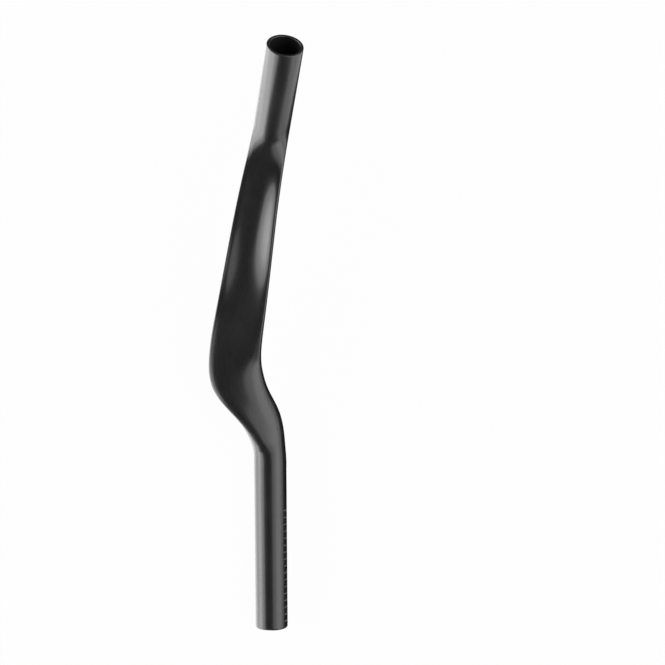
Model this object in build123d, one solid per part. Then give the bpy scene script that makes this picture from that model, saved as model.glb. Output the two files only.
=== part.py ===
"""Aero handlebar extension for the rider's left hand: one hollow moulded piece.

Millimetres. The origin is the middle of the round clamp section's axis, Y points
forward along that axis, Z is up and X points inward, to where the other bar is.
"""

import os
from collections import namedtuple
from math import cos, hypot, pi, radians, sin

from build123d import *

# The whole piece is one wall thick
wall = 2.1
rim_radius = 0.5

# Round clamp section at the rear
clamp_diameter = 22.2
clamp_length = 112.0

# Round grip at the front, which turns up and inward at its corner
grip_diameter = 24.5
grip_length = 76.0
grip_rise = 32.8
grip_toe_in = 10.4
grip_corner_in = 2.1
grip_corner_up = 25.0
grip_bend = 9.0

# Straight round stretch where the forearm rest runs into each tube
lead = 7.0

# Forearm rest, from the clamp section to the grip's corner
# Each section lies at a share of that length, set outward and up from the clamp axis, and
# the roll tips it outward. From its centre the dish is the height of its top and the depth
# that of its underside. Towards each edge the dish rises as a parabola, then the edge
# turns down to the belt, where the section is widest.
# A squareness of 2 is round and more is a tighter edge. A keel of 1 is a round underside
# and more is a keener one.
rest_length = 229.7
Side = namedtuple("Side", "rise belt squareness")
Section = namedtuple("Section", "share out up half_width roll dish depth keel inner outer")
rest = [
    Section(0.096, 1.5, 2.4, 11.7, -18.0, 10.8, 10.8, 1.0, Side(0.0, 0.0, 2.1), Side(0.0, 0.0, 2.4)),
    Section(0.152, 5.5, 5.0, 14.2, -26.0, 9.8, 9.8, 1.0, Side(0.0, 0.0, 2.3), Side(0.0, 0.0, 2.7)),
    Section(0.209, 12.9, 8.4, 15.4, -20.0, 9.5, 9.5, 1.0, Side(0.0, 0.0, 2.3), Side(0.0, 0.5, 2.9)),
    Section(0.279, 21.6, 10.0, 18.1, -2.0, 9.8, 10.0, 1.1, Side(0.0, 1.0, 2.2), Side(0.0, 3.0, 3.4)),
    Section(0.366, 22.2, 11.1, 17.7, 6.0, 9.8, 10.2, 1.3, Side(0.0, 4.0, 3.0), Side(0.0, 5.0, 4.5)),
    Section(0.479, 17.9, 17.6, 17.0, 8.0, 9.2, 11.0, 1.5, Side(0.6, 6.5, 4.0), Side(1.0, 6.5, 5.5)),
    Section(0.644, 11.3, 27.0, 15.7, 8.0, 7.6, 12.6, 1.6, Side(5.2, 9.0, 3.2), Side(4.2, 6.5, 6.0)),
    Section(0.801, 5.5, 34.0, 14.3, 7.0, 8.3, 13.6, 1.6, Side(8.0, 10.6, 3.2), Side(2.0, 6.5, 6.0)),
    Section(0.923, 0.7, 27.4, 12.9, 5.0, 10.4, 12.9, 1.4, Side(0.6, 7.8, 3.8), Side(0.0, 6.5, 6.0)),
    Section(0.971, -0.8, 29.0, 12.6, 0.0, 12.2, 12.4, 1.0, Side(0.0, 0.0, 2.1), Side(0.0, 0.0, 2.1)),
]
section_points = 28
join_tolerance = 0.001
same_place = 0.01


def round_outline(radius):
    """Points around a round section, across and up from its centre, starting underneath."""
    turns = [2 * pi * index / section_points - pi / 2 for index in range(section_points)]
    return [(radius * cos(turn), radius * sin(turn)) for turn in turns]


def arch(across, squareness):
    """Height of an arch of unit height and half width."""
    return max(1 - abs(across) ** squareness, 0) ** (1 / squareness)


def rest_outline(section, inset):
    """Points around a rest section moved in by the inset, in the same order."""
    points = []
    for across, up in round_outline(1.0):
        side = section.inner if across > 0 else section.outer
        place = (section.half_width - inset) * across
        if up > 0:
            share = abs(place) / section.half_width
            slope = 2 * side.rise * share / section.half_width
            height = section.dish + side.rise * share**2 - inset * hypot(1, slope) - side.belt
            points.append((place, side.belt + height * arch(across, side.squareness)))
        else:
            drop = section.depth + side.belt - inset
            points.append((place, side.belt - drop * abs(up) ** section.keel))
    return points


def facing(place, direction, roll=0.0):
    """Section plane across a direction: local X points inward and local Y up."""
    level = direction.cross(Vector(0, 0, 1)).normalized()
    upward = level.cross(direction)
    inward = level * cos(radians(roll)) + upward * sin(radians(roll))
    return Plane(origin=place, x_dir=inward, z_dir=-direction)


def closed_wire(plane, points):
    """Smooth closed curve through an outline's points on a section plane."""
    steps = [index / section_points for index in range(section_points + 1)]
    places = [plane.from_local_coords(Vector(across, up, 0)) for across, up in points]
    return Wire([Edge.make_spline(places, periodic=True, parameters=steps)])


def tube(start, direction, radius, length):
    """Plain cylinder from a start point along a direction."""
    return Solid.make_cylinder(radius, length, Plane(origin=start, z_dir=direction))


# Places along the bar
forward = Vector(0, 1, 0)
rear_end = Vector(0, -clamp_length / 2, 0)
clamp_front = Vector(0, clamp_length / 2, 0)
grip_direction = Vector(
    cos(radians(grip_rise)) * sin(radians(grip_toe_in)),
    cos(radians(grip_rise)) * cos(radians(grip_toe_in)),
    sin(radians(grip_rise)),
)
grip_corner = clamp_front + Vector(grip_corner_in, rest_length, grip_corner_up)
grip_start = grip_corner + grip_direction * (grip_bend + lead)
grip_straight = grip_length - grip_bend - lead

rest_places = [
    clamp_front + Vector(-section.out, section.share * rest_length, section.up) for section in rest
]
route = [
    clamp_front + forward * lead,
    *rest_places,
    grip_corner + grip_direction * grip_bend,
]


def filled(inset):
    """The whole bar as a solid, every surface moved in by the inset."""
    clamp_radius = clamp_diameter / 2 - inset
    grip_radius = grip_diameter / 2 - inset
    wires = [
        closed_wire(facing(clamp_front, forward), round_outline(clamp_radius)),
        closed_wire(facing(route[0], forward), round_outline(clamp_radius)),
    ]
    for index, section in enumerate(rest):
        direction = (route[index + 2] - route[index]).normalized()
        plane = facing(route[index + 1], direction, section.roll)
        wires.append(closed_wire(plane, rest_outline(section, inset)))
    for place in (route[-1], grip_start):
        wires.append(closed_wire(facing(place, grip_direction), round_outline(grip_radius)))
    clamp_tube = tube(rear_end, forward, clamp_radius, clamp_length)
    grip_tube = tube(grip_start, grip_direction, grip_radius, grip_straight)
    return clamp_tube.fuse(Solid.make_loft(wires), grip_tube, tol=join_tolerance)


bar = filled(0) - filled(wall)

# Broken edges at both cut ends
tip = grip_start + grip_direction * grip_straight
rims = []
for edge in bar.edges().filter_by(GeomType.CIRCLE):
    if min((edge.arc_center - end).length for end in (rear_end, tip)) < same_place:
        rims.append(edge)
bar = bar.fillet(rim_radius, rims)

os.makedirs("parts", exist_ok=True)
export_step(bar, "parts/extension_bar.step")
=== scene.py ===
"""Looks of the aero handlebar extension: moulded skin, satin carbon, setting scale and studio.

Metres, in the part's own frame: the clamp section lies along Y with its middle at the
origin, Z is up and X points inward, to the middle of the handlebar.
"""

from collections import namedtuple
from math import cos, hypot, pi, radians, sin, tan

import bpy
import numpy as np
from mathutils import Euler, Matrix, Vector


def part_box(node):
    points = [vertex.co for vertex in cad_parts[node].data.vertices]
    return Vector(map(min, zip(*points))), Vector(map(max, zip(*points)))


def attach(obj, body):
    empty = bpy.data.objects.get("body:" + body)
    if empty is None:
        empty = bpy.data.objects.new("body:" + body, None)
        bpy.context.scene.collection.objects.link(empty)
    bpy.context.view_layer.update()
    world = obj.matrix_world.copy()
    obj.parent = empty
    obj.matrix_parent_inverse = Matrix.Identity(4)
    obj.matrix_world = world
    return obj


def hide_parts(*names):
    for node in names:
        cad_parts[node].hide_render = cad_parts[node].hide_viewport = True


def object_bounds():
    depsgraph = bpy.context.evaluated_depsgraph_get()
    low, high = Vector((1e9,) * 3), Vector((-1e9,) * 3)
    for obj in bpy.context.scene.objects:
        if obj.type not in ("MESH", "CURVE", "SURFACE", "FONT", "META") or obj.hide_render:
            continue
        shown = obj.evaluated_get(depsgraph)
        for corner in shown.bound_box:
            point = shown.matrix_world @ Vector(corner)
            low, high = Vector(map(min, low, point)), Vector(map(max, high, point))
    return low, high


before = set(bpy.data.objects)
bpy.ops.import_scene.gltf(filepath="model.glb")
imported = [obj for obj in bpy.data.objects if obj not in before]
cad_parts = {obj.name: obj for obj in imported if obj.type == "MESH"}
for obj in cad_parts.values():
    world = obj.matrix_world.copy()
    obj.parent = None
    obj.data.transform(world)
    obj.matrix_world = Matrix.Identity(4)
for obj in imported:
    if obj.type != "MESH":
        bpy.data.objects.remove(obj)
cad_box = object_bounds()
millimetre = 0.001

# Moulded bar, in millimetres and degrees
wall = 2.1
rim_radius = 0.5
rear_rim_radius = 1.5
clamp_diameter = 22.2
clamp_length = 112.0
grip_diameter = 24.5
grip_length = 76.0
grip_rise = 32.8
grip_toe_in = 10.4
grip_corner_in = 2.1
grip_corner_up = 25.0
grip_bend = 9.0
lead = 7.0
rest_length = 229.7

# S-bend and forearm rest: each section lies at a share of their length, set outward and up from
# the clamp axis and rolled outward. The top is a dish that rises towards each edge, and the edge
# turns down to the belt, where the section is widest. The keel sets how keen the underside is.
# The last section flows straight into the grip, so that the bend there has no flat in it.
Side = namedtuple("Side", "rise belt squareness")
Section = namedtuple("Section", "share out up half_width roll dish depth keel inner outer")
rest = [
    Section(0.096, 1.8, 2.4, 12.0, -20.0, 10.4, 10.8, 1.0, Side(0.0, 0.0, 2.1), Side(0.0, 0.3, 2.6)),
    Section(0.152, 5.7, 5.0, 13.8, -16.0, 9.4, 9.8, 1.0, Side(0.0, 0.0, 2.1), Side(0.0, 0.8, 3.2)),
    Section(0.209, 12.9, 8.4, 14.9, -4.0, 9.3, 9.5, 1.0, Side(0.0, 0.0, 2.0), Side(0.0, 2.0, 3.8)),
    Section(0.279, 21.6, 10.0, 18.1, -2.0, 9.8, 10.0, 1.1, Side(0.0, 1.0, 2.2), Side(0.0, 3.0, 3.4)),
    Section(0.366, 22.2, 11.1, 17.7, 6.0, 9.8, 10.2, 1.3, Side(0.0, 4.0, 3.0), Side(0.0, 5.0, 4.5)),
    Section(0.479, 17.9, 17.6, 17.0, 8.0, 9.2, 11.0, 1.5, Side(0.6, 6.5, 4.0), Side(1.8, 6.5, 5.5)),
    Section(0.644, 11.3, 27.0, 15.7, 8.0, 7.6, 12.6, 1.6, Side(5.2, 9.0, 3.2), Side(5.2, 6.5, 6.0)),
    Section(0.801, 5.5, 34.0, 14.3, 7.0, 8.3, 13.6, 1.6, Side(8.0, 10.6, 3.2), Side(2.0, 6.5, 6.0)),
    Section(0.923, 0.7, 27.4, 12.9, 5.0, 10.4, 12.9, 1.4, Side(0.6, 7.8, 3.8), Side(0.0, 6.5, 6.0)),
]

# Fineness of the skin, and the runs along each straight tube that hold its flow
section_points = 28
points_between = 4
ring_spacing = 1.5
tube_runs = (20.0, 10.0)
rim_steps = 5

# Places along the bar, in millimetres
forward = Vector((0, 1, 0))
rear_mouth = Vector((0, -clamp_length / 2, 0))
clamp_front = Vector((0, clamp_length / 2, 0))
grip_direction = Vector((
    cos(radians(grip_rise)) * sin(radians(grip_toe_in)),
    cos(radians(grip_rise)) * cos(radians(grip_toe_in)),
    sin(radians(grip_rise)),
))
grip_corner = clamp_front + Vector((grip_corner_in, rest_length, grip_corner_up))
front_mouth = grip_corner + grip_direction * grip_length
rest_places = [
    clamp_front + Vector((-section.out, section.share * rest_length, section.up)) for section in rest
]
rest_start = clamp_front + forward * lead
rest_end = grip_corner + grip_direction * grip_bend
grip_start = rest_end + grip_direction * lead
clamp_places = [clamp_front - forward * run for run in tube_runs] + [clamp_front, rest_start]
grip_places = [rest_end, grip_start] + [grip_start + grip_direction * run for run in reversed(tube_runs)]

# Finishes: the darkest and lightest tone of each, the noise between them and the bump's depth
carbon_tones = ((0.011, 0.011, 0.0115, 1), (0.02, 0.02, 0.0208, 1))
raw_tones = ((0.005, 0.005, 0.0052, 1), (0.012, 0.012, 0.0124, 1))
ink_tones = ((0.2, 0.2, 0.2, 1), (0.34, 0.34, 0.34, 1))
noise_range = (0.3, 0.7)
bump_depth = 0.1 * millimetre

# Printed setting scale on the inner side of the clamp section, angles from inward towards up
clamp_radius = clamp_diameter / 2 * millimetre
clamp_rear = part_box("extension_bar")[0].y
tick_count = 17
tick_spacing = 4.88 * millimetre
first_tick = 5.6 * millimetre
tick_width = 0.4 * millimetre
tick_thickness = 0.06 * millimetre
tick_sunk = 0.02 * millimetre
tick_low_angle = 4.0
tick_high_angle = 36.0
tick_steps = 12

# Floor that sweeps up into a low backdrop, and the dim world around it
floor_colour = (0.85, 0.85, 0.85, 1)
floor_roughness = 0.9
floor_white_share = 0.97
floor_radius = 6.0
floor_segments = 64
backdrop_height = 1.0
sweep_steps = 8
world_colour = (0.03, 0.03, 0.03, 1)

# Cards on the floor, seen only in the bar's gloss: two glowing ones outward of the bar paint reflections
# of a brightly lit floor, black ones inward paint the bar's own shadow, and a black one in front paints
# a dark reflection
Card = namedtuple("Card", "name left right rear front lift brightness")
card_lift = 0.5 * millimetre
cards = [
    # Glowing cards: painted reflections of a brightly lit floor outward of the bar
    Card("near_painted_reflection_card", -0.1, -0.018, -0.6, 1.2, card_lift, 1.8),
    Card("far_painted_reflection_card", -1.17, -0.1, -0.9, 1.2, card_lift, 3.3),
    # Black cards: painted shadow of the bar on the floor inward of it, seen only in its gloss
    Card("painted_shadow_card", 0.0, 0.13, -0.6, 0.2, card_lift, 0.0),
    Card("grip_painted_shadow_card", 0.0, 0.08, 0.2, 0.35, card_lift, 0.0),
    # Black card: painted dark reflection in front of the bar, seen only in its gloss
    Card("front_painted_reflection_card", -0.15, 0.2, 0.4, 0.9, 2 * card_lift, 0.0),
]

# Soft boxes along the bar, each between two angles from overhead towards inward
SoftBox = namedtuple("SoftBox", "name start end radiance")
box_distance = 1.2
box_length = 2.4
box_middle = Vector((0.0, 0.15, 0.02))
soft_boxes = [
    SoftBox("left_low_box", -90.0, -70.0, 3.4),
    SoftBox("left_high_box", -70.0, -48.0, 2.0),
    SoftBox("right_high_box", 12.0, 38.0, 1.0),
    SoftBox("right_low_box", 38.0, 79.0, 1.75),
]

# Camera of the photograph
camera_place = Vector((0.0446, 0.40482, 1.76081))
camera_tilt = -8.21
camera_turn = -0.29
lens = 140.73
sensor_width = 36.0


def new_material(name):
    """Node material and its Principled shader."""
    material = bpy.data.materials.new(name)
    material.use_nodes = True
    return material, material.node_tree.nodes["Principled BSDF"]


def new_object(name, mesh):
    """Object of a mesh, linked to the scene."""
    piece = bpy.data.objects.new(name, mesh)
    bpy.context.scene.collection.objects.link(piece)
    return piece


def noise(material, stretch, scale, detail):
    """Noise on the object's own coordinates, which a small stretch draws out along that axis."""
    nodes = material.node_tree.nodes
    links = material.node_tree.links
    place = nodes.new("ShaderNodeTexCoord")
    mapping = nodes.new("ShaderNodeMapping")
    mapping.inputs["Scale"].default_value = stretch
    links.new(place.outputs["Object"], mapping.inputs["Vector"])
    texture = nodes.new("ShaderNodeTexNoise")
    texture.inputs["Scale"].default_value = scale
    texture.inputs["Detail"].default_value = detail
    links.new(mapping.outputs["Vector"], texture.inputs["Vector"])
    return texture.outputs["Fac"]


def ranged(material, value, low, high):
    """A noise value spread from low to high."""
    spread = material.node_tree.nodes.new("ShaderNodeMapRange")
    spread.inputs["From Min"].default_value = noise_range[0]
    spread.inputs["From Max"].default_value = noise_range[1]
    spread.inputs["To Min"].default_value = low
    spread.inputs["To Max"].default_value = high
    material.node_tree.links.new(value, spread.inputs["Value"])
    return spread.outputs["Result"]


def toned(material, shader, value, tones):
    """Gives the shader a colour that a noise value moves between two tones."""
    links = material.node_tree.links
    tone = material.node_tree.nodes.new("ShaderNodeMix")
    tone.data_type = "RGBA"
    tone.inputs["A"].default_value = tones[0]
    tone.inputs["B"].default_value = tones[1]
    links.new(ranged(material, value, low=0.0, high=1.0), tone.inputs["Factor"])
    links.new(tone.outputs["Result"], shader.inputs["Base Color"])


def bumped(material, shader, value, strength):
    """Gives the shader a fine bump from a noise value."""
    links = material.node_tree.links
    bump = material.node_tree.nodes.new("ShaderNodeBump")
    bump.inputs["Strength"].default_value = strength
    bump.inputs["Distance"].default_value = bump_depth
    links.new(value, bump.inputs["Height"])
    links.new(bump.outputs["Normal"], shader.inputs["Normal"])


def satin_carbon():
    """Black carbon under a satin clear coat, with the faint lengthwise grain of its fibres."""
    material, shader = new_material("satin_carbon")
    fibres = noise(material, stretch=(1.0, 0.04, 1.0), scale=1400.0, detail=3.0)
    toned(material, shader, fibres, carbon_tones)
    handling = noise(material, stretch=(1.0, 0.5, 1.0), scale=90.0, detail=4.0)
    roughness = ranged(material, handling, low=0.32, high=0.39)
    material.node_tree.links.new(roughness, shader.inputs["Roughness"])
    peel = noise(material, stretch=(1.0, 1.0, 1.0), scale=700.0, detail=1.0)
    bumped(material, shader, peel, strength=0.03)
    shader.inputs["Coat Weight"].default_value = 1.0
    shader.inputs["Coat Roughness"].default_value = 0.22
    return material


def raw_carbon():
    """Uncoated carbon of the cut ends and the bore, dull and slightly rough."""
    material, shader = new_material("raw_carbon")
    fibres = noise(material, stretch=(1.0, 0.2, 1.0), scale=1800.0, detail=3.0)
    toned(material, shader, fibres, raw_tones)
    roughness = ranged(material, fibres, low=0.62, high=0.8)
    material.node_tree.links.new(roughness, shader.inputs["Roughness"])
    bumped(material, shader, fibres, strength=0.3)
    shader.inputs["Specular IOR Level"].default_value = 0.3
    return material


def scale_ink():
    """Pale grey ink of the setting scale, a little patchy."""
    material, shader = new_material("scale_ink")
    patches = noise(material, stretch=(1.0, 1.0, 1.0), scale=2500.0, detail=2.0)
    toned(material, shader, patches, ink_tones)
    shader.inputs["Roughness"].default_value = 0.5
    return material


def round_outline(radius):
    """Points around a round section, across and up from its centre, starting underneath."""
    turns = [2 * pi * index / section_points - pi / 2 for index in range(section_points)]
    return [(radius * cos(turn), radius * sin(turn)) for turn in turns]


def arch(across, squareness):
    """Height of an arch of unit height and half width."""
    return max(1 - abs(across) ** squareness, 0) ** (1 / squareness)


def rest_outline(section, inset):
    """Points around a rest section moved in by the inset, in the same order."""
    points = []
    for across, up in round_outline(1.0):
        side = section.inner if across > 0 else section.outer
        place = (section.half_width - inset) * across
        if up > 0:
            share = abs(place) / section.half_width
            slope = 2 * side.rise * share / section.half_width
            height = section.dish + side.rise * share**2 - inset * hypot(1, slope) - side.belt
            points.append((place, side.belt + height * arch(across, side.squareness)))
        else:
            drop = section.depth + side.belt - inset
            points.append((place, side.belt - drop * abs(up) ** section.keel))
    return points


def closed_curve(points):
    """Finer points on the closed cubic spline through a section's points."""
    points = np.array(points)
    count = len(points)
    near = np.eye(count)
    through = (4 * near + np.roll(near, 1, 0) + np.roll(near, -1, 0)) / 6
    control = np.linalg.solve(through, points)
    finer = []
    for index in range(count):
        corners = [control[(index + step) % count] for step in (-1, 0, 1, 2)]
        for step in range(points_between):
            t = step / points_between
            weights = ((1 - t) ** 3, 3 * t**3 - 6 * t**2 + 4, -3 * t**3 + 3 * t**2 + 3 * t + 1, t**3)
            finer.append(sum(weight * corner for weight, corner in zip(weights, corners)) / 6)
    return finer


def ring(place, direction, points, roll=0.0):
    """A section's points set across a direction, with its up side up."""
    level = direction.cross(Vector((0, 0, 1))).normalized()
    upward = level.cross(direction)
    across_axis = level * cos(radians(roll)) + upward * sin(radians(roll))
    up_axis = upward * cos(radians(roll)) - level * sin(radians(roll))
    return np.array([place + across_axis * across + up_axis * up for across, up in points])


def flowing(stations, places):
    """Evenly spaced rings on the cubic splines that lead through the stations, point by point."""
    stations = np.array(stations)
    count = len(places)
    steps = np.array([(places[index + 1] - places[index]).length for index in range(count - 1)])
    reach = np.concatenate([[0.0], np.cumsum(steps)])
    bends = np.zeros(stations.shape)
    matrix = np.zeros((count - 2, count - 2))
    slopes = np.diff(stations, axis=0) / steps[:, None, None]
    for index in range(count - 2):
        matrix[index, index] = 2 * (steps[index] + steps[index + 1])
        if index > 0:
            matrix[index, index - 1] = steps[index]
        if index < count - 3:
            matrix[index, index + 1] = steps[index + 1]
    pulls = 6 * np.diff(slopes, axis=0)
    bends[1:-1] = np.linalg.solve(matrix, pulls.reshape(count - 2, -1)).reshape(pulls.shape)
    rings = []
    for along in np.linspace(0.0, reach[-1], int(reach[-1] / ring_spacing) + 1):
        index = min(np.searchsorted(reach, along, side="right") - 1, count - 2)
        step = steps[index]
        after = (along - reach[index]) / step
        before = 1 - after
        straight = before * stations[index] + after * stations[index + 1]
        curve = (before**3 - before) * bends[index] + (after**3 - after) * bends[index + 1]
        rings.append(straight + curve * step**2 / 6)
    return rings


def mouth_rim(end, direction, into, diameter, inset, radius):
    """Rings round a mouth's broken edge, from the tube to the end face."""
    side = 1 if inset == 0 else -1
    rings = []
    for step in range(rim_steps + 1):
        turn = pi / 2 * step / rim_steps
        shrink = side * radius * (1 - cos(turn)) + inset
        depth = radius * (1 - sin(turn))
        points = closed_curve(round_outline(diameter / 2 - shrink))
        rings.append(ring(end + direction * into * depth, direction, points))
    return rings


def skin(inset):
    """Rings of the bar's surface moved in by the inset, from its rear rim to its front rim."""
    clamp_round = closed_curve(round_outline(clamp_diameter / 2 - inset))
    grip_round = closed_curve(round_outline(grip_diameter / 2 - inset))
    stations = [ring(place, forward, clamp_round) for place in clamp_places]
    route = [rest_start, *rest_places, rest_end]
    for index, section in enumerate(rest):
        direction = (route[index + 2] - route[index]).normalized()
        points = closed_curve(rest_outline(section, inset))
        stations.append(ring(route[index + 1], direction, points, section.roll))
    stations += [ring(place, grip_direction, grip_round) for place in grip_places]
    flow = flowing(stations, clamp_places + rest_places + grip_places)
    rear_radius = rear_rim_radius if inset == 0 else rim_radius
    rear_rim = mouth_rim(rear_mouth, forward, 1, clamp_diameter, inset, rear_radius)
    front_rim = mouth_rim(front_mouth, grip_direction, -1, grip_diameter, inset, rim_radius)
    return rear_rim[::-1] + flow + front_rim


def moulded_bar():
    """The hollow bar: its outer skin, rims and bore as one closed flow of rings."""
    outside = skin(0.0)
    rings = outside + skin(wall)[::-1]
    around = len(rings[0])
    points = np.concatenate(rings) * millimetre
    faces = []
    for index in range(len(rings)):
        near = index * around
        far = (index + 1) % len(rings) * around
        for point in range(around):
            after = (point + 1) % around
            faces.append((near + point, far + point, far + after, near + after))
    mesh = bpy.data.meshes.new("moulded_bar")
    mesh.from_pydata(points.tolist(), [], faces)
    mesh.shade_smooth()
    mesh.materials.append(satin_carbon())
    mesh.materials.append(raw_carbon())
    end_faces = (len(outside) - 1, len(rings) - 1)
    bore = range(len(outside) + rim_steps, len(rings) - 1 - rim_steps)
    for face in mesh.polygons:
        row = face.index // around
        face.material_index = 1 if row in end_faces or row in bore else 0
    return new_object("moulded_bar", mesh)


def setting_scale_tree():
    """Short flat arc round the clamp section, repeated along it."""
    tree = bpy.data.node_groups.new("setting_scale", "GeometryNodeTree")
    inputs = {
        "Geometry": "NodeSocketGeometry",
        "Ticks": "NodeSocketInt",
        "Start": "NodeSocketVector",
        "Spacing": "NodeSocketVector",
        "Radius": "NodeSocketFloat",
        "Low Angle": "NodeSocketFloat",
        "Sweep": "NodeSocketFloat",
        "Steps": "NodeSocketInt",
        "Width": "NodeSocketFloat",
        "Thickness": "NodeSocketFloat",
        "Ink": "NodeSocketMaterial",
    }
    for name, kind in inputs.items():
        tree.interface.new_socket(name, in_out="INPUT", socket_type=kind)
    tree.interface.new_socket("Geometry", in_out="OUTPUT", socket_type="NodeSocketGeometry")
    nodes = tree.nodes
    links = tree.links
    given = nodes.new("NodeGroupInput").outputs
    arc = nodes.new("GeometryNodeCurveArc")
    links.new(given["Steps"], arc.inputs["Resolution"])
    links.new(given["Radius"], arc.inputs["Radius"])
    links.new(given["Low Angle"], arc.inputs["Start Angle"])
    links.new(given["Sweep"], arc.inputs["Sweep Angle"])
    stripe = nodes.new("GeometryNodeCurvePrimitiveQuadrilateral")
    links.new(given["Width"], stripe.inputs["Height"])
    links.new(given["Thickness"], stripe.inputs["Width"])
    tick = nodes.new("GeometryNodeCurveToMesh")
    tick.inputs["Fill Caps"].default_value = True
    links.new(arc.outputs["Curve"], tick.inputs["Curve"])
    links.new(stripe.outputs["Curve"], tick.inputs["Profile Curve"])
    upright = nodes.new("GeometryNodeTransform")
    upright.inputs["Rotation"].default_value = (pi / 2, 0, 0)
    links.new(tick.outputs["Mesh"], upright.inputs["Geometry"])
    row = nodes.new("GeometryNodeMeshLine")
    links.new(given["Ticks"], row.inputs["Count"])
    links.new(given["Start"], row.inputs["Start Location"])
    links.new(given["Spacing"], row.inputs["Offset"])
    repeat = nodes.new("GeometryNodeInstanceOnPoints")
    links.new(row.outputs["Mesh"], repeat.inputs["Points"])
    links.new(upright.outputs["Geometry"], repeat.inputs["Instance"])
    realize = nodes.new("GeometryNodeRealizeInstances")
    links.new(repeat.outputs["Instances"], realize.inputs["Geometry"])
    inked = nodes.new("GeometryNodeSetMaterial")
    links.new(realize.outputs["Geometry"], inked.inputs["Geometry"])
    links.new(given["Ink"], inked.inputs["Material"])
    links.new(inked.outputs["Geometry"], nodes.new("NodeGroupOutput").inputs["Geometry"])
    return tree


def setting_scale():
    """The row of printed ticks as one plain mesh."""
    tree = setting_scale_tree()
    holder = new_object("setting_scale_row", bpy.data.meshes.new("setting_scale_row"))
    modifier = holder.modifiers.new("setting_scale", "NODES")
    modifier.node_group = tree
    values = {
        "Ticks": tick_count,
        "Start": (0.0, clamp_rear + first_tick, 0.0),
        "Spacing": (0.0, tick_spacing, 0.0),
        "Radius": clamp_radius + tick_thickness / 2 - tick_sunk,
        "Low Angle": radians(tick_low_angle),
        "Sweep": radians(tick_high_angle - tick_low_angle),
        "Steps": tick_steps,
        "Width": tick_width,
        "Thickness": tick_thickness,
        "Ink": scale_ink(),
    }
    for item in tree.interface.items_tree:
        if item.in_out == "INPUT" and item.name in values:
            modifier[item.identifier] = values[item.name]
    graph = bpy.context.evaluated_depsgraph_get()
    mesh = bpy.data.meshes.new_from_object(holder.evaluated_get(graph))
    bpy.data.objects.remove(holder)
    return new_object("setting_scale", mesh)


def white_stage():
    """Pale floor finish that is white to the camera and in reflections and keeps a soft shadow."""
    material, shader = new_material("pale_floor")
    nodes = material.node_tree.nodes
    links = material.node_tree.links
    shader.inputs["Base Color"].default_value = floor_colour
    shader.inputs["Roughness"].default_value = floor_roughness
    path = nodes.new("ShaderNodeLightPath")
    seen = path.outputs["Is Camera Ray"]
    for ray in ("Is Glossy Ray", "Is Transmission Ray"):
        either = nodes.new("ShaderNodeMath")
        either.operation = "MAXIMUM"
        links.new(seen, either.inputs[0])
        links.new(path.outputs[ray], either.inputs[1])
        seen = either.outputs[0]
    share = nodes.new("ShaderNodeMath")
    share.operation = "MULTIPLY"
    share.inputs[1].default_value = floor_white_share
    links.new(seen, share.inputs[0])
    white = nodes.new("ShaderNodeEmission")
    mix = nodes.new("ShaderNodeMixShader")
    links.new(share.outputs[0], mix.inputs[0])
    links.new(shader.outputs[0], mix.inputs[1])
    links.new(white.outputs[0], mix.inputs[2])
    links.new(mix.outputs[0], nodes["Material Output"].inputs["Surface"])
    return material


def round_stage(level):
    """Round floor that sweeps up into a low backdrop all the way round."""
    flat_radius = floor_radius - backdrop_height
    profile = [(flat_radius, 0.0)]
    for step in range(1, sweep_steps + 1):
        turn = pi / 2 * step / sweep_steps
        profile.append((flat_radius + backdrop_height * sin(turn), backdrop_height * (1 - cos(turn))))
    points = [(0.0, 0.0, level)]
    for reach, height in profile:
        for index in range(floor_segments):
            turn = 2 * pi * index / floor_segments
            points.append((reach * cos(turn), reach * sin(turn), level + height))
    faces = []
    for index in range(floor_segments):
        after = (index + 1) % floor_segments
        faces.append((0, 1 + index, 1 + after))
        for step in range(sweep_steps):
            near = 1 + step * floor_segments
            far = near + floor_segments
            faces.append((near + index, far + index, far + after, near + after))
    mesh = bpy.data.meshes.new("floor")
    mesh.from_pydata(points, [], faces)
    mesh.shade_smooth()
    mesh.materials.append(white_stage())
    return new_object("floor", mesh)


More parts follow.
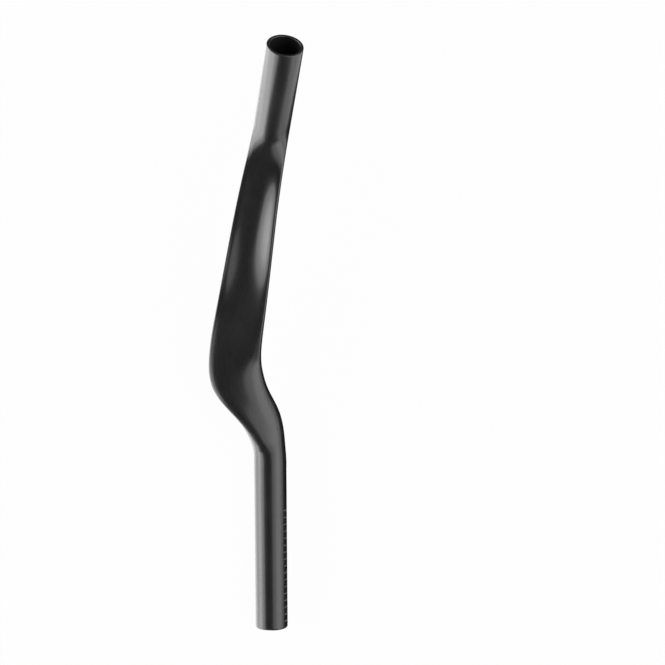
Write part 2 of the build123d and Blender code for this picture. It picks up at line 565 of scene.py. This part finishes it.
def floor_card(card, level):
    """Flat card beside the bar that shows only in its gloss, where it paints a reflection: a bright one
    where it glows, a dark one or the bar's shadow where it is black.
    """
    across = (card.left, card.right, card.right, card.left)
    along = (card.rear, card.rear, card.front, card.front)
    corners = [(x, y, level + card.lift) for x, y in zip(across, along)]
    mesh = bpy.data.meshes.new(card.name)
    mesh.from_pydata(corners, [], [(0, 1, 2, 3)])
    material, shader = new_material(card.name)
    shader.inputs["Base Color"].default_value = (0, 0, 0, 1)
    shader.inputs["Specular IOR Level"].default_value = 0.0
    shader.inputs["Emission Color"].default_value = (1, 1, 1, 1)
    shader.inputs["Emission Strength"].default_value = card.brightness
    mesh.materials.append(material)
    sheet = new_object(card.name, mesh)
    sheet.visible_camera = False
    sheet.visible_diffuse = False
    sheet.visible_shadow = False
    sheet.visible_transmission = False
    return sheet


def hang_soft_box(box):
    """Long soft box beside the bar that fills the angles from its start to its end."""
    angle = radians((box.start + box.end) / 2)
    breadth = 2 * box_distance * tan(radians(box.end - box.start) / 2)
    light = bpy.data.lights.new(box.name, "AREA")
    light.shape = "RECTANGLE"
    light.size = box_length
    light.size_y = breadth
    light.energy = box.radiance * pi * box_length * breadth
    lamp = bpy.data.objects.new(box.name, light)
    bpy.context.scene.collection.objects.link(lamp)
    toward = Vector((sin(angle), 0, cos(angle)))
    lamp.location = box_middle + toward * box_distance
    lamp.rotation_euler = toward.to_track_quat("Z", "Y").to_euler()


# Bar
bar = moulded_bar()
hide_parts("extension_bar")
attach(bar, "root")

# Setting scale
ticks = setting_scale()
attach(ticks, "root")

# Floor, and cards that paint reflections and the bar's shadow into its gloss
floor_level = cad_box[0].z
round_stage(floor_level)
for card in cards:
    floor_card(card, floor_level)

# Studio light
for box in soft_boxes:
    hang_soft_box(box)
world = bpy.data.worlds.new("studio")
bpy.context.scene.world = world
world.use_nodes = True
world.node_tree.nodes["Background"].inputs["Color"].default_value = world_colour

# Camera
camera_data = bpy.data.cameras.new("camera")
camera_data.lens = lens
camera_data.sensor_width = sensor_width
camera = bpy.data.objects.new("camera", camera_data)
camera.location = camera_place
camera.rotation_euler = Euler((radians(camera_tilt), 0, radians(camera_turn)))
bpy.context.scene.collection.objects.link(camera)
bpy.context.scene.camera = camera
bpy.context.scene.view_settings.view_transform = "Standard"
